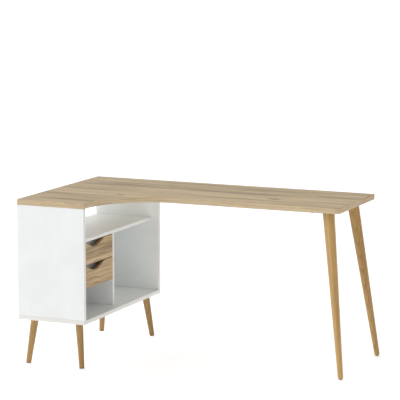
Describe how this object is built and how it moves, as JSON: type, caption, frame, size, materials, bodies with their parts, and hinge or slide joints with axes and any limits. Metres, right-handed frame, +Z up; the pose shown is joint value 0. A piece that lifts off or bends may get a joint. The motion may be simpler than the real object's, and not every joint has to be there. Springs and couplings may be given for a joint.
{
  "type": "corner desk",
  "caption": "L-shaped desk: a wood-look top with a curved inner corner, on a white open cabinet with drawers and on splayed round legs.",
  "frame": {"origin": "on the floor, at the middle of the footprint", "axes": "+X along the wing away from the cabinet, +Y to the back edge, +Z up"},
  "size_m": [1.4516, 0.8202, 0.76],
  "materials": {
    "oak_melamine": "matte printed oak melamine, light greyish brown",
    "white_melamine": "matte white melamine on chipboard",
    "lacquered_leg_wood": "satin clear lacquer on honey-coloured wood",
    "light_grey_foil": "matte light grey foil on thin board",
    "zinc_plated_steel": "bright zinc plating",
    "raw_beech": "raw beech",
    "glide_nylon": "dark brown nylon"
  },
  "bodies": {
    "desk_frame": {"back_panel": "white_melamine", "bottom_panel": "white_melamine", "desktop": "oak_melamine", "divider": "white_melamine", "far_back_dowel": "raw_beech", "far_back_leg": "lacquered_leg_wood", "far_back_leg_bolt": "zinc_plated_steel", "far_back_leg_glide": "glide_nylon", "far_front_dowel": "raw_beech", "far_front_leg": "lacquered_leg_wood", "far_front_leg_bolt": "zinc_plated_steel", "far_front_leg_glide": "glide_nylon", "far_side_panel": "white_melamine", "fixed_shelf": "white_melamine", "lower_drawer_far_rail": "zinc_plated_steel", "lower_drawer_near_rail": "zinc_plated_steel", "near_back_dowel": "raw_beech", "near_back_leg": "lacquered_leg_wood", "near_back_leg_bolt": "zinc_plated_steel", "near_back_leg_glide": "glide_nylon", "near_front_dowel": "raw_beech", "near_front_leg": "lacquered_leg_wood", "near_front_leg_bolt": "zinc_plated_steel", "near_front_leg_glide": "glide_nylon", "near_side_panel": "white_melamine", "upper_drawer_far_rail": "zinc_plated_steel", "upper_drawer_near_rail": "zinc_plated_steel", "wing_back_leg": "lacquered_leg_wood", "wing_back_leg_bolt": "zinc_plated_steel", "wing_back_leg_glide": "glide_nylon", "wing_back_leg_plate": "zinc_plated_steel", "wing_back_leg_screw_1": "zinc_plated_steel", "wing_back_leg_screw_2": "zinc_plated_steel", "wing_back_leg_screw_3": "zinc_plated_steel", "wing_back_leg_screw_4": "zinc_plated_steel", "wing_front_leg": "lacquered_leg_wood", "wing_front_leg_bolt": "zinc_plated_steel", "wing_front_leg_glide": "glide_nylon", "wing_front_leg_plate": "zinc_plated_steel", "wing_front_leg_screw_1": "zinc_plated_steel", "wing_front_leg_screw_2": "zinc_plated_steel", "wing_front_leg_screw_3": "zinc_plated_steel", "wing_front_leg_screw_4": "zinc_plated_steel"},
    "upper_drawer": {"upper_drawer_back": "light_grey_foil", "upper_drawer_bottom": "light_grey_foil", "upper_drawer_far_side": "light_grey_foil", "upper_drawer_far_slider": "zinc_plated_steel", "upper_drawer_front": "oak_melamine", "upper_drawer_inner_front": "light_grey_foil", "upper_drawer_near_side": "light_grey_foil", "upper_drawer_near_slider": "zinc_plated_steel"},
    "lower_drawer": {"lower_drawer_back": "light_grey_foil", "lower_drawer_bottom": "light_grey_foil", "lower_drawer_far_side": "light_grey_foil", "lower_drawer_far_slider": "zinc_plated_steel", "lower_drawer_front": "oak_melamine", "lower_drawer_inner_front": "light_grey_foil", "lower_drawer_near_side": "light_grey_foil", "lower_drawer_near_slider": "zinc_plated_steel"}
  },
  "joints": [
    {"name": "upper_drawer_slide", "type": "slide", "parent": "desk_frame", "child": "upper_drawer", "axis": [1, 0, 0], "range_m": [0, 0.19]},
    {"name": "lower_drawer_slide", "type": "slide", "parent": "desk_frame", "child": "lower_drawer", "axis": [1, 0, 0], "range_m": [0, 0.19]}
  ]
}
